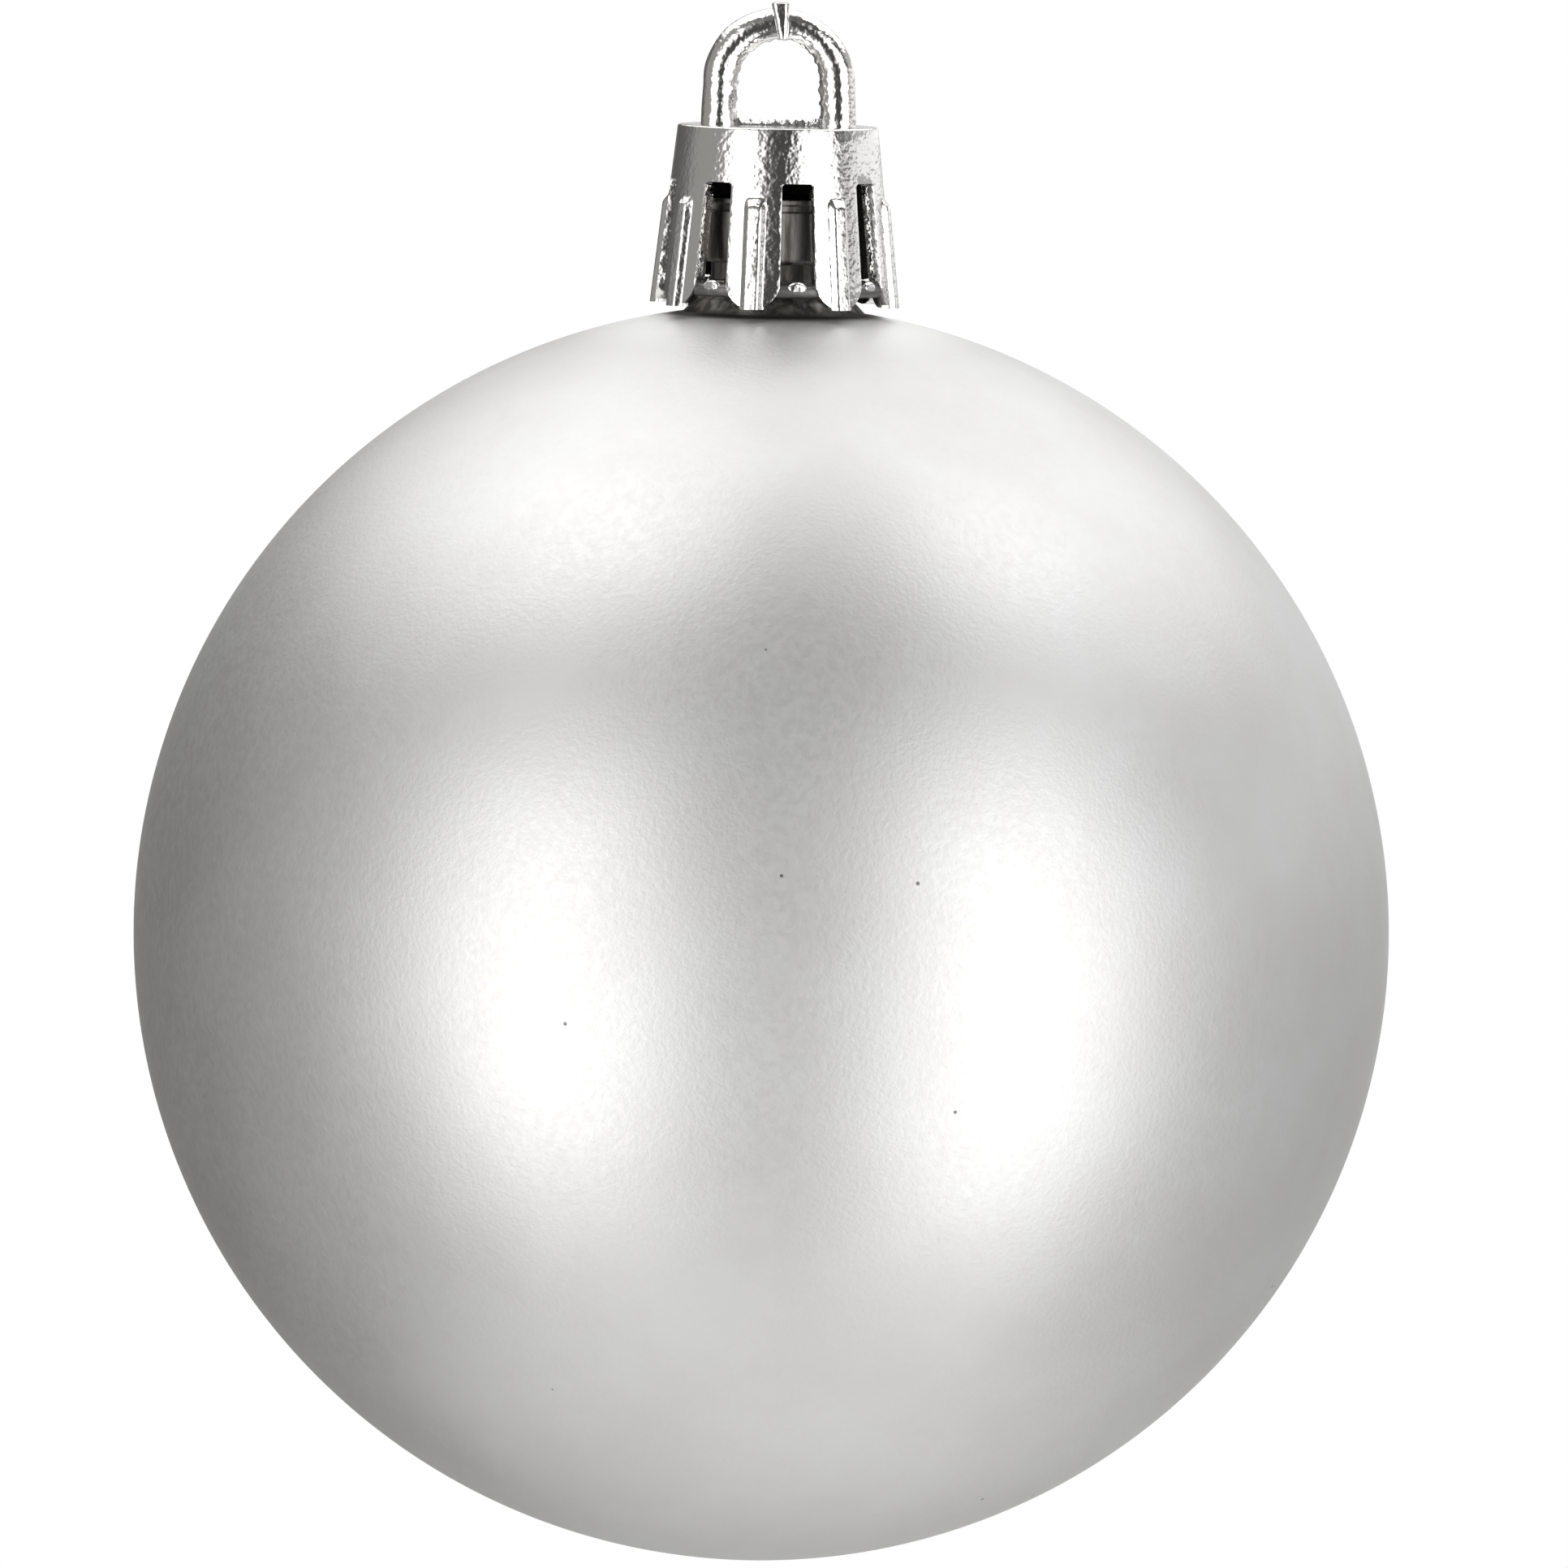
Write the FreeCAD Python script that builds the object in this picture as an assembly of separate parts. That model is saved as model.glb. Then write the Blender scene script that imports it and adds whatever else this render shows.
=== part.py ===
import FreeCAD, Part
import math
import os
from FreeCAD import Vector

# Christmas tree ball of shatterproof plastic with a push-on crown cap.
# Millimetres, +Z up. The origin is where a hook bears: the underside of the hanging loop's crown.
# The loop stands in the XZ plane, and the cap and the ball share the Z axis.

# Ball: a blown shell, one piece with its neck
BALL_DIAMETER = 60.0
BALL_WALL = 1.0
NECK_DIAMETER = 7.3            # over the bead that the cap snaps onto
NECK_WALL = 0.65               # at the undercut, its thinnest place
BEAD_LENGTH = 3.1              # from the rim to the underside of the bead
BEAD_ROUND = 0.3
RIM_LIP_HEIGHT = 0.3
RIM_GROOVE_HEIGHT = 0.3
RIM_GROOVE_DEPTH = 0.15
NECK_BASE_STEP = 0.7           # how far the neck's base stands out from the undercut
NECK_BASE_FLARE = 0.6          # how much wider the base is where it meets the ball
NECK_BASE_HEIGHT = 0.62
NECK_BASE_TAPER = 0.4
NECK_BASE_FILLET = 0.2

# Cap: one moulding with its loop, skirt, windows, ribs and snap prongs
CAP_HEIGHT = 8.55              # from the flat top to the tips of the petals
CAP_WALL = 0.65
CAP_TOP_THICKNESS = 0.8
CAP_TOP_ROUND = 0.15
CAP_FLARE_DEG = 6.3
WINDOW_COUNT = 8
WINDOW_TURN_DEG = 11.5         # the first window's place, from the front (-Y) towards +X
WINDOW_TOP_DROP = 2.6          # from the flat top to the head of a window
WINDOW_HEAD_WIDTH = 1.5
WINDOW_FOOT_WIDTH = 1.8
WINDOW_CORNER = 0.2
PETAL_TIP_RADIUS = 1.4
RIB_WIDTH = 0.85
RIB_PROUD = 0.3
RIB_TOP_DROP = 3.35            # from the flat top to the head of a rib
RING_SECTION = 0.66            # the thin ring that ties the petals together at the windows' feet
RING_HEIGHT = 0.85             # from the petal tips to the middle of the ring
RING_INSET = 0.1               # from the middle of the skirt's wall in to the middle of the ring
PRONG_WIDTH = 1.0
PRONG_THICKNESS = 0.7
PRONG_HEIGHT = 1.0             # from the petal tips to the middle of a prong
PRONG_END_ROUND = 0.22
PRONG_ROOT_INSET = 0.1         # from the skirt's outer face in to a prong's outer end

# Hanging loop
LOOP_EYE_WIDTH = 3.92
LOOP_EYE_HEIGHT = 4.12
LOOP_CROWN = 1.47
LOOP_LEG_WIDTH = 1.65
LOOP_LEG_SPLAY = 0.1
LOOP_DEPTH = 1.6
LOOP_EDGE_ROUND = 0.6
GATE_WIDTH = 0.85              # the stub left where the plastic ran into the mould
GATE_LENGTH = 1.7
GATE_PROUD = 0.26
GATE_EDGE_ROUND = 0.12

# Fits between the cap and the ball
NECK_GAP = 0.85                # bead to the inside of the cap, level with the rim
SNAP_BITE = 0.3                # how far a prong reaches in under the bead
SNAP_CLEARANCE = 0.3           # a prong's end to the undercut
AXIAL_PLAY = 0.7               # a prong's top to the underside of the bead
SKIRT_GAP = 0.65               # petal tips to the ball's shoulder

PITCH_DEG = 360.0 / WINDOW_COUNT
HALF_ROUND = 0.99              # a round end's radius, as a share of half its width
OVERCUT = 1.0                  # how far a cutting shape runs past what it cuts
TOLERANCE = 1e-4
FLARE = math.tan(math.radians(CAP_FLARE_DEG))
WALL_ACROSS = CAP_WALL / math.cos(math.radians(CAP_FLARE_DEG))

# Heights
CAP_TOP_Z = -LOOP_EYE_HEIGHT
CAP_CEILING_Z = CAP_TOP_Z - CAP_TOP_THICKNESS
WINDOW_TOP_Z = CAP_TOP_Z - WINDOW_TOP_DROP
RIB_TOP_Z = CAP_TOP_Z - RIB_TOP_DROP
PETAL_TIP_Z = CAP_TOP_Z - CAP_HEIGHT
RING_Z = PETAL_TIP_Z + RING_HEIGHT
PRONG_Z = PETAL_TIP_Z + PRONG_HEIGHT
BEAD_FOOT_Z = PRONG_Z + PRONG_THICKNESS / 2 + AXIAL_PLAY
RIM_Z = BEAD_FOOT_Z + BEAD_LENGTH

# Radii
BEAD_RADIUS = NECK_DIAMETER / 2
PRONG_END_RADIUS = BEAD_RADIUS - SNAP_BITE
UNDERCUT_RADIUS = PRONG_END_RADIUS - SNAP_CLEARANCE
NECK_BASE_RADIUS = UNDERCUT_RADIUS + NECK_BASE_STEP
NECK_FOOT_RADIUS = NECK_BASE_RADIUS + NECK_BASE_FLARE
BORE_RADIUS = UNDERCUT_RADIUS - NECK_WALL
CAP_TOP_RADIUS = BEAD_RADIUS + NECK_GAP + WALL_ACROSS - FLARE * (CAP_TOP_Z - RIM_Z)
BALL_RADIUS = BALL_DIAMETER / 2


def skirt_radius(z, outward=0.0):
    """Radius of the cap's outer face at a height, or of a face parallel to it."""
    return CAP_TOP_RADIUS + FLARE * (CAP_TOP_Z - z) + outward


RIB_TIP_RADIUS = skirt_radius(PETAL_TIP_Z, RIB_PROUD)
BALL_CENTRE_Z = PETAL_TIP_Z - SKIRT_GAP - math.sqrt(BALL_RADIUS ** 2 - RIB_TIP_RADIUS ** 2)
REACH = RIB_TIP_RADIUS + OVERCUT


def rounded_face(corners):
    """Face in the XZ plane from (x, z, corner radius) given in order round it."""
    edges = []
    start_points, end_points = [], []
    for i, (x, z, radius) in enumerate(corners):
        here = Vector(x, 0, z)
        before = Vector(corners[i - 1][0], 0, corners[i - 1][1]) - here
        after_x, after_z, _ = corners[(i + 1) % len(corners)]
        after = Vector(after_x, 0, after_z) - here
        before.normalize()
        after.normalize()
        if radius == 0:
            start_points.append(here)
            end_points.append(here)
            continue
        half_angle = before.getAngle(after) / 2
        run = radius / math.tan(half_angle)
        to_centre = (before + after).normalize() * (radius / math.sin(half_angle))
        centre = here + to_centre
        middle = centre - to_centre.normalize() * radius
        start, end = here + before * run, here + after * run
        edges.append(Part.Arc(start, middle, end).toShape())
        start_points.append(start)
        end_points.append(end)
    for i, start in enumerate(start_points):
        if (start - end_points[i - 1]).Length > TOLERANCE:
            edges.append(Part.makeLine(end_points[i - 1], start))
    return Part.Face(Part.Wire(Part.__sortEdges__(edges)))


def turned(corners):
    """Solid of revolution about Z from (radius, z, corner radius) given in order."""
    return rounded_face(corners).revolve(Vector(0, 0, 0), Vector(0, 0, 1), 360)


def skirt_band(inside, outside, low_z, high_z):
    """Ring of the cap's taper between two faces parallel to its outer face."""
    return turned([
        (skirt_radius(low_z, inside), low_z, 0),
        (skirt_radius(low_z, outside), low_z, 0),
        (skirt_radius(high_z, outside), high_z, 0),
        (skirt_radius(high_z, inside), high_z, 0),
    ])


def outwards(face, inner=0.0):
    """Push a face in the XZ plane out towards the front (-Y), from a radius to beyond the skirt."""
    solid = face.extrude(Vector(0, inner - REACH, 0))
    solid.translate(Vector(0, -inner, 0))
    return solid


def around(shape, first_deg):
    """Copies of a shape at every window or every petal, turned about Z from the front."""
    copies = []
    for i in range(WINDOW_COUNT):
        copy = shape.copy()
        copy.rotate(Vector(0, 0, 0), Vector(0, 0, 1), first_deg + i * PITCH_DEG)
        copies.append(copy)
    return copies


def make_ball():
    """The shell: a sphere with an open neck, a bead to snap onto and an undercut below it."""
    foot_z = BALL_CENTRE_Z + math.sqrt(BALL_RADIUS ** 2 - NECK_FOOT_RADIUS ** 2)
    groove_top = RIM_Z - RIM_LIP_HEIGHT
    groove_foot = groove_top - RIM_GROOVE_HEIGHT
    lip_round = RIM_LIP_HEIGHT / 3
    neck = turned([
        (0, RIM_Z, 0),
        (BEAD_RADIUS, RIM_Z, lip_round),
        (BEAD_RADIUS, groove_top, lip_round),
        (BEAD_RADIUS - RIM_GROOVE_DEPTH, groove_top, 0),
        (BEAD_RADIUS - RIM_GROOVE_DEPTH, groove_foot, 0),
        (BEAD_RADIUS, groove_foot, lip_round),
        (BEAD_RADIUS, BEAD_FOOT_Z, BEAD_ROUND),
        (UNDERCUT_RADIUS, BEAD_FOOT_Z, 0),
        (UNDERCUT_RADIUS, foot_z + NECK_BASE_HEIGHT + NECK_BASE_TAPER, 0),
        (NECK_BASE_RADIUS, foot_z + NECK_BASE_HEIGHT, 0),
        (NECK_FOOT_RADIUS, foot_z, 0),
        (NECK_FOOT_RADIUS, foot_z - BALL_WALL, 0),
        (0, foot_z - BALL_WALL, 0),
    ])
    centre = Vector(0, 0, BALL_CENTRE_Z)
    outside = Part.makeSphere(BALL_RADIUS, centre).fuse(neck).removeSplitter()
    corner = [
        edge for edge in outside.Edges
        if max(abs(edge.BoundBox.ZMin - foot_z), abs(edge.BoundBox.ZMax - foot_z)) < TOLERANCE
    ]
    outside = outside.makeFillet(NECK_BASE_FILLET, corner)
    hollow = Part.makeSphere(BALL_RADIUS - BALL_WALL, centre)
    bore = Part.makeCylinder(BORE_RADIUS, RIM_Z - BALL_CENTRE_Z + OVERCUT, centre)
    return outside.cut(hollow.fuse(bore))


def make_skirt():
    """Flat-topped tapered skirt, cut into petals by the windows, with the petals' round tips."""
    skirt = turned([
        (0, CAP_TOP_Z, 0),
        (CAP_TOP_RADIUS, CAP_TOP_Z, CAP_TOP_ROUND),
        (skirt_radius(PETAL_TIP_Z), PETAL_TIP_Z, 0),
        (skirt_radius(PETAL_TIP_Z, -WALL_ACROSS), PETAL_TIP_Z, 0),
        (skirt_radius(CAP_CEILING_Z, -WALL_ACROSS), CAP_CEILING_Z, 0),
        (0, CAP_CEILING_Z, 0),
    ])
    head, foot = WINDOW_HEAD_WIDTH / 2, WINDOW_FOOT_WIDTH / 2
    below = PETAL_TIP_Z - OVERCUT
    window = outwards(rounded_face([
        (-head, WINDOW_TOP_Z, WINDOW_CORNER),
        (head, WINDOW_TOP_Z, WINDOW_CORNER),
        (foot, below, 0),
        (-foot, below, 0),
    ]))
    # what is trimmed off below a petal: a block with the round tip's disc taken out of it
    tip_centre_z = PETAL_TIP_Z + PETAL_TIP_RADIUS
    half_pitch = REACH * math.sin(math.radians(PITCH_DEG / 2)) - foot
    block = Part.makeBox(2 * half_pitch, REACH, tip_centre_z - below, Vector(-half_pitch, -REACH, below))
    disc = Part.makeCylinder(PETAL_TIP_RADIUS, REACH, Vector(0, 0, tip_centre_z), Vector(0, -1, 0))
    trim = block.cut(disc)
    cuts = around(window, WINDOW_TURN_DEG) + around(trim, WINDOW_TURN_DEG + PITCH_DEG / 2)
    return skirt.cut(cuts)


def make_ribs():
    """One raised rib down the middle of each petal, with a round head."""
    band = skirt_band(-CAP_WALL / 2, RIB_PROUD, PETAL_TIP_Z, RIB_TOP_Z)
    half = RIB_WIDTH / 2
    head_round = half * HALF_ROUND
    bar = outwards(rounded_face([
        (-half, RIB_TOP_Z, head_round),
        (half, RIB_TOP_Z, head_round),
        (half, PETAL_TIP_Z, 0),
        (-half, PETAL_TIP_Z, 0),
    ]))
    return [band.common(copy) for copy in around(bar, WINDOW_TURN_DEG + PITCH_DEG / 2)]


def make_ring():
    """Round-section ring between the petals, set a little inside the skirt's outer face."""
    middle_radius = skirt_radius(RING_Z, -CAP_WALL / 2) - RING_INSET
    return Part.makeTorus(middle_radius, RING_SECTION / 2, Vector(0, 0, RING_Z), Vector(0, 0, 1))


def make_prongs():
    """Snap prongs on the ring, one at the foot of each window, reaching in under the bead."""
    outer = skirt_radius(RING_Z, -PRONG_ROOT_INSET)
    length = outer - PRONG_END_RADIUS
    half_width, half_height = PRONG_WIDTH / 2, PRONG_THICKNESS / 2
    side_round = half_height * HALF_ROUND
    face = rounded_face([
        (-half_width, PRONG_Z + half_height, side_round),
        (half_width, PRONG_Z + half_height, side_round),
        (half_width, PRONG_Z - half_height, side_round),
        (-half_width, PRONG_Z - half_height, side_round),
    ])
    prong = face.extrude(Vector(0, -length, 0))
    ends = [edge for edge in prong.Edges if edge.BoundBox.YLength < TOLERANCE]
    prong = prong.makeFillet(PRONG_END_ROUND, ends)
    prong.translate(Vector(0, -PRONG_END_RADIUS, 0))
    return around(prong, WINDOW_TURN_DEG)


def make_loop():
    """Round-edged arch with its gate stub, standing on the cap's flat top."""
    inner = LOOP_EYE_WIDTH / 2
    outer = inner + LOOP_LEG_WIDTH
    foot_z = CAP_TOP_Z - CAP_TOP_THICKNESS / 2
    outer_centre_z = LOOP_CROWN - outer
    inner_centre_z = -inner
    foot_out = outer + LOOP_LEG_SPLAY

    def at(x, z):
        return Vector(x, LOOP_DEPTH / 2, z)

    outline = Part.Wire([
        Part.makeLine(at(-foot_out, foot_z), at(-outer, outer_centre_z)),
        Part.Arc(at(-outer, outer_centre_z), at(0, LOOP_CROWN), at(outer, outer_centre_z)).toShape(),
        Part.makeLine(at(outer, outer_centre_z), at(foot_out, foot_z)),
        Part.makeLine(at(foot_out, foot_z), at(inner, foot_z)),
        Part.makeLine(at(inner, foot_z), at(inner, inner_centre_z)),
        Part.Arc(at(inner, inner_centre_z), at(0, 0), at(-inner, inner_centre_z)).toShape(),
        Part.makeLine(at(-inner, inner_centre_z), at(-inner, foot_z)),
        Part.makeLine(at(-inner, foot_z), at(-foot_out, foot_z)),
    ])
    arch = Part.Face(outline).extrude(Vector(0, -LOOP_DEPTH, 0))
    rims = [
        edge for edge in arch.Edges
        if edge.BoundBox.YLength < TOLERANCE and edge.BoundBox.ZLength > TOLERANCE
    ]
    arch = arch.makeFillet(LOOP_EDGE_ROUND, rims)
    depth = LOOP_DEPTH + GATE_PROUD
    corner = Vector(-GATE_WIDTH / 2, -LOOP_DEPTH / 2 - GATE_PROUD, LOOP_CROWN + GATE_PROUD - GATE_LENGTH)
    stub = Part.makeBox(GATE_WIDTH, depth, GATE_LENGTH, corner)
    stub = stub.makeFillet(GATE_EDGE_ROUND, stub.Edges)
    return arch.fuse(stub)


def make_cap():
    """The whole cap as one solid."""
    pieces = make_ribs() + make_prongs() + [make_ring(), make_loop()]
    return make_skirt().fuse(pieces).removeSplitter()


def save(shape, name):
    solids = shape.Solids
    if len(solids) != 1 or not shape.isValid():
        raise ValueError(f"{name}: {len(solids)} solids, valid {shape.isValid()}")
    solids[0].exportStep(f"parts/{name}.step")
    box = solids[0].BoundBox
    print(f"{name}: volume {solids[0].Volume:.1f} mm3, "
          f"{box.XLength:.2f} x {box.YLength:.2f} x {box.ZLength:.2f} mm, "
          f"z {box.ZMin:.2f} to {box.ZMax:.2f}")


os.makedirs("parts", exist_ok=True)
save(make_ball(), "ball")
save(make_cap(), "cap")
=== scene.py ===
"""Christmas tree ball with a push-on crown cap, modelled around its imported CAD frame."""

import math
from types import SimpleNamespace

import bmesh
import bpy
from mathutils import Matrix, Vector
from mathutils import noise as mathutils_noise


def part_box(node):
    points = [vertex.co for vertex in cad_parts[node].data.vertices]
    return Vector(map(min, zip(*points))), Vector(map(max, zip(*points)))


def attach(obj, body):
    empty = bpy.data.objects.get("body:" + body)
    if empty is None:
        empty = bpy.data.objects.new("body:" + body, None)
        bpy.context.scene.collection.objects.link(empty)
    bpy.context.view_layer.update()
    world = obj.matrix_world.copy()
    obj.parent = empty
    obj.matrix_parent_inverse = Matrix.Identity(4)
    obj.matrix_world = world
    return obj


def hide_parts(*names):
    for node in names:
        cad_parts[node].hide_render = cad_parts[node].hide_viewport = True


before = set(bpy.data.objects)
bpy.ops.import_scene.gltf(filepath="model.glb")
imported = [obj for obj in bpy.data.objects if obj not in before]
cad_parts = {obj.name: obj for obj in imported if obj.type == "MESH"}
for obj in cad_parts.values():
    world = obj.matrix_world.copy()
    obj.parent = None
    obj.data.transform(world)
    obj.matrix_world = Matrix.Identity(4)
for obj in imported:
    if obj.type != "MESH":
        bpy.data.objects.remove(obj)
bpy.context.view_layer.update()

bl_info = {
    "name": "Tree Ball Ornament",
    "version": (1, 0, 0),
    "blender": (4, 5, 0),
    "location": "3D View > Sidebar > Ornament",
    "description": "Builds a satin plastic tree ball, its plated crown cap and a plain studio",
    "category": "Object",
}

MM = 0.001
BALL_LOW, BALL_HIGH = (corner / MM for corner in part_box("ball"))
CAP_LOW, CAP_HIGH = (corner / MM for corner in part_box("cap"))
BALL_RADIUS = (BALL_HIGH.x - BALL_LOW.x) / 2
BALL_CENTRE_Z = BALL_LOW.z + BALL_RADIUS
RIM_Z = BALL_HIGH.z
PETAL_TIP_Z = CAP_LOW.z
GATE_TOP_Z = CAP_HIGH.z
WINDOWS = 8
PITCH = math.tau / WINDOWS
# how far inside the cap a face is also sets how much painted shade it takes
INSIDE = "inside"            # face attribute: how far inside the cap a face is, from 0 to 1
TOLERANCE = 1e-4
SMOOTH_BELOW = math.radians(40)    # faces that meet at less than this shade as one surface
SHARP_ABOVE = math.radians(35)     # edges that turn more than this are sharp
ARC_FACET = math.radians(15)       # turn between two points of a rounded corner
BASE_ROUND = 0.1             # edges of the neck's base
BEAD_FOOT_ROUND = 0.05       # corner between the bead's underside and the neck
GROOVE_ROUND = 0.04          # inner corners of the groove under the lip
NECK_FADE = 0.3              # height over which the ball's coat gives way to the neck's
UPPER_FADE = (5, 10)         # heights above the ball's middle between which its upper part begins
RIM_FADE = (0.06, 0.02)      # depths below the rim between which the coat gives way to bare plastic
BORE_FADE = (0.05, 0.1)      # distances outside the bore between which the coat begins
STREAK_STRETCH = 0.12        # a streak's width as a share of its length
STREAK_RANGE = (0.35, 0.65)  # noise values that give the darkest and the lightest coat of the neck
NOISE_RANGE = (0.3, 0.7)     # noise values that give the least and the most of a slow change
SPECK_EDGE = (0.8, 1.1)      # where a speck's edge starts and ends, as shares of its radius
FACE_STEP = 0.6              # between the rows of faces down a petal
RIB_SUNK = 0.02              # how far a rib's outline sinks into the skirt
RING_INSET = 0.1             # from the middle of the skirt's wall in to the middle of the ring
PRONG_ROOT_INSET = 0.1       # from the skirt's outer face in to a prong's outer end
PRONG_END_ROUND = 0.3        # radius of a prong's end, as a share of its thickness
TIP_SHOULDER = 0.35          # where a petal's side meets its round tip, as a share of the tip's radius
LUMP_REACH = 0.2             # how far past the middle of a leg its lumps reach
LUMP_PLACE = Vector((7, 3, 5))     # takes the lumps from another part of the noise than the swells
SILL_LOW = 0.35              # lowest part of the flash, as a share of its height
SLOT_CORE = 0.65             # share of the dark slot's width that is evenly dark
SLOT_SQUASH = 0.4            # how much height counts in the slot's shape: little, so it is tall
LIGHT_DISTANCE = 450.0
SOFTBOX_FADES = (0.4, 0.3)   # how far in from its edges a light fades, as shares of width and height
OVERHEAD_FADES = (0.15, 0.15)


def linear(code):
    """An sRGB hex colour as the linear colour that shaders and lights take."""
    channels = [int(code[i:i + 2], 16) / 255 for i in (1, 3, 5)]
    return tuple(c / 12.92 if c <= 0.04045 else ((c + 0.055) / 1.055) ** 2.4 for c in channels)


def length(title, millimetres, about):
    return bpy.props.FloatProperty(
        name=title, description=about, default=millimetres * MM, min=0.0, unit="LENGTH", precision=5)


def angle(title, degrees, about):
    return bpy.props.FloatProperty(
        name=title, description=about, default=math.radians(degrees), subtype="ANGLE")


def fraction(title, part, about):
    return bpy.props.FloatProperty(name=title, description=about, default=part, min=0.0, max=1.0)


def colour(title, code, about):
    return bpy.props.FloatVectorProperty(
        name=title, description=about, default=linear(code), size=3, min=0.0, max=1.0, subtype="COLOR")


class BallSettings(bpy.types.PropertyGroup):
    wall: length("Wall", 1.0, "Thickness of the blown shell")
    neck_diameter: length("Neck diameter", 7.3, "Diameter over the bead that the cap snaps onto")
    neck_bore: length("Neck bore", 4.8, "Diameter of the hole through the neck")
    bead_length: length("Bead length", 3.1, "Height from the underside of the bead to the rim")
    bead_round: length("Bead rounding", 0.3, "Radius of the bead's lower edge")
    undercut_diameter: length("Undercut diameter", 6.1, "Diameter of the neck below the bead")
    base_diameter: length("Neck base diameter", 7.5, "Diameter of the neck's base at its top")
    foot_diameter: length("Neck foot diameter", 8.7, "Diameter of the neck where it meets the ball")
    base_height: length("Neck base height", 0.62, "Height of the neck's base above the ball")
    base_taper: length("Neck base taper", 0.4, "Height of the slope from the base to the undercut")
    base_fillet: length("Neck base fillet", 0.2, "Radius of the hollow corner between neck and ball")
    lip_height: length("Lip height", 0.3, "Height of the lip round the rim")
    groove_depth: length("Groove depth", 0.15, "Depth of the groove under the lip")
    lacquer: colour("Lacquer", "#D6D6D6", "Colour of the satin silver lacquer")
    lacquer_thin: colour("Thin lacquer", "#D1D0CF", "Colour of the lacquer where its coat is thinner")
    neck_dark: colour("Neck, dark", "#66635E", "Colour of the neck's thin coat in its streaks")
    neck_light: colour("Neck, light", "#B4B1AB", "Colour of the neck's thin coat between its streaks")
    bare_rim: colour("Bare rim", "#1C1B1A", "Colour of the uncoated plastic at the cut rim and in the bore")
    # painted shadow: the dark colour painted on the ball round the neck, where the cap shades it
    painted_cap_shadow: colour("Shaded coat", "#6A6864", "Colour of the thin coat on the ball round the neck")
    # painted light: the lighter colour of a ring on the ball just outside the painted shadow
    painted_light_ring: colour("Built-up lacquer", "#EEEEED", "Colour of the lacquer where the spray built up")
    dust: colour("Dust", "#7A7876", "Colour of a speck of dust under the lacquer")
    # painted shadow round the neck: where it starts to fade and where it ends, as distances from the axis
    painted_shadow_inner: length("Shade, inner", 4.7, "Distance from the axis where the thin coat starts to fade")
    painted_shadow_outer: length("Shade, outer", 5.5, "Distance from the axis where the full coat starts")
    streak_width: length("Streak width", 0.5, "Width of a streak on the neck")
    dust_spacing: length("Dust spacing", 4.6, "Distance between the points that dust may fall on")
    dust_size: length("Dust size", 0.1, "Radius of a speck of dust")
    cloud_size: length("Cloud size", 9.0, "Distance between thick places in the coat")
    grain_size: length("Grain size", 0.4, "Distance between rough places in the lacquer")
    smooth_places: fraction("Smooth places", 0.47, "Roughness of the lacquer's smooth places")
    rough_places: fraction("Rough places", 0.51, "Roughness of the lacquer's rough places")
    peel_size: length("Orange peel size", 0.25, "Distance between the bumps of the sprayed coat")
    peel_height: length("Orange peel height", 0.012, "Height of the bumps of the sprayed coat")


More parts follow.
